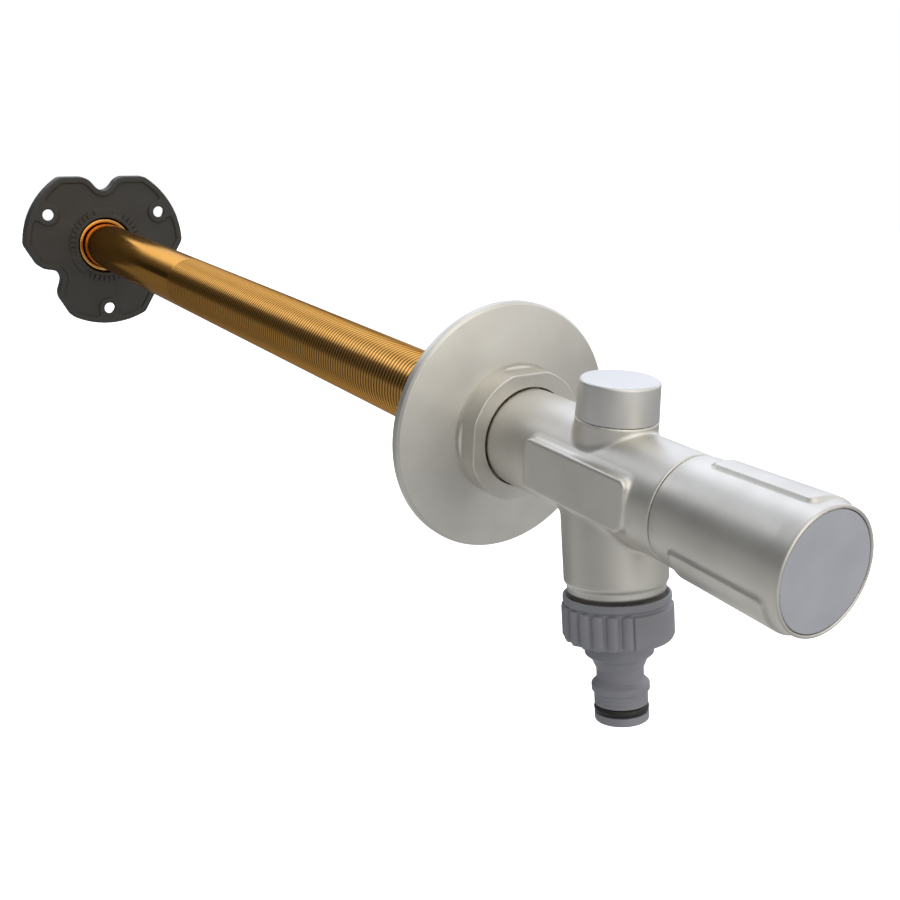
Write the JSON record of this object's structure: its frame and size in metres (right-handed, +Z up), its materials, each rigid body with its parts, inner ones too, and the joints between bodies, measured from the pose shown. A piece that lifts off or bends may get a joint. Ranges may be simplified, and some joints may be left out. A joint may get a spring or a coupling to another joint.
{
  "type": "frost free sillcock",
  "caption": "Frost free outdoor tap: a turning handle drives a long rod to a valve inside the wall, with vented body, rosette, threaded wall tube, mounting plate and hose connector.",
  "frame": {"origin": "on the axis of the wall tube, in the plane of the wall's outer face, where the rosette's back lies", "axes": "+Y along the wall tube into the building, -Y out to the handle, +Z up with the vent cap on top and the spout below"},
  "size_m": [0.0966, 0.5893, 0.1149],
  "materials": {
    "satin_chrome": "satin chrome plated brass",
    "cap_chrome": "satin chrome plated",
    "tube_bronze": "polished gunmetal bronze",
    "turned_brass": "turned brass",
    "steel": "drawn stainless steel",
    "black_plastic": "moulded glass filled nylon",
    "disc_grey": "moulded ABS, satin",
    "union_grey": "moulded polypropylene",
    "white_plastic": "moulded acetal",
    "insert_plastic": "moulded nylon",
    "rubber": "moulded EPDM rubber"
  },
  "bodies": {
    "tap": {"mounting_plate": "black_plastic", "inlet_fitting": "tube_bronze", "wall_tube": "tube_bronze", "carrier_guide": "turned_brass", "rod_guides": "white_plastic", "tube_seal": "rubber", "valve_body": "satin_chrome", "headwork_bush": "turned_brass", "bush_o_ring": "rubber", "thrust_washer": "white_plastic", "vent_guide": "white_plastic", "vent_seal": "rubber", "vent_retainer": "turned_brass", "vent_cap": "cap_chrome", "check_cage": "white_plastic", "cage_o_ring": "rubber", "check_spring": "steel"},
    "handle": {"drive_rod": "steel", "drive_pin": "steel", "spindle": "turned_brass", "spindle_o_rings": "rubber", "spindle_clip": "steel", "handle_shell": "satin_chrome", "handle_insert": "insert_plastic", "handle_screw": "steel", "end_disc": "disc_grey"},
    "main_valve": {"valve_carrier": "turned_brass", "seat_washer": "rubber", "washer_screw": "steel"},
    "rosette": {"escutcheon": "satin_chrome", "wall_gasket": "rubber"},
    "collar": {"collar_nut": "satin_chrome"},
    "vent_float": {"vent_float": "white_plastic"},
    "poppet": {"check_poppet": "white_plastic", "poppet_seal": "rubber"},
    "nipple": {"hose_nipple": "union_grey", "hose_washer": "rubber", "nipple_o_ring": "rubber"},
    "union": {"hose_nut": "union_grey"}
  },
  "joints": [
    {"name": "handle_turn", "type": "hinge", "parent": "tap", "child": "handle", "pos_m": [0, -0.11, 0], "axis": [0, -1, 0], "range_deg": [0, 720]},
    {"name": "main_valve_slide", "type": "slide", "parent": "tap", "child": "main_valve", "axis": [0, -1, 0], "range_m": [0, 0.004]},
    {"name": "rosette_slide", "type": "slide", "parent": "tap", "child": "rosette", "axis": [0, -1, 0], "range_m": [0, 0.004]},
    {"name": "collar_nut_turn", "type": "hinge", "parent": "rosette", "child": "collar", "pos_m": [0, -0.01, 0], "axis": [0, -1, 0], "range_deg": [0, 720]},
    {"name": "vent_float_lift", "type": "slide", "parent": "tap", "child": "vent_float", "axis": [0, 0, 1], "range_m": [0, 0.0015]},
    {"name": "check_poppet_slide", "type": "slide", "parent": "tap", "child": "poppet", "axis": [0, -0.1857, -0.9826], "range_m": [0, 0.0022], "stiffness_N_per_m": 150, "springref_m": -0.003, "deforming": ["check_spring"]},
    {"name": "hose_nipple_slide", "type": "slide", "parent": "tap", "child": "nipple", "axis": [0, -0.1857, -0.9826], "range_m": [0, 0.00545]},
    {"name": "hose_nut_turn", "type": "hinge", "parent": "nipple", "child": "union", "pos_m": [0, -0.063, -0.0407], "axis": [0, -0.1857, -0.9826], "range_deg": [0, 1080]}
  ],
  "couplings": [
    {"joint": "main_valve_slide", "follows": "handle_turn", "m_per_rad": 0.00031831},
    {"joint": "rosette_slide", "follows": "collar_nut_turn", "m_per_rad": 0.00031831},
    {"joint": "hose_nipple_slide", "follows": "hose_nut_turn", "m_per_rad": 0.00028871}
  ]
}
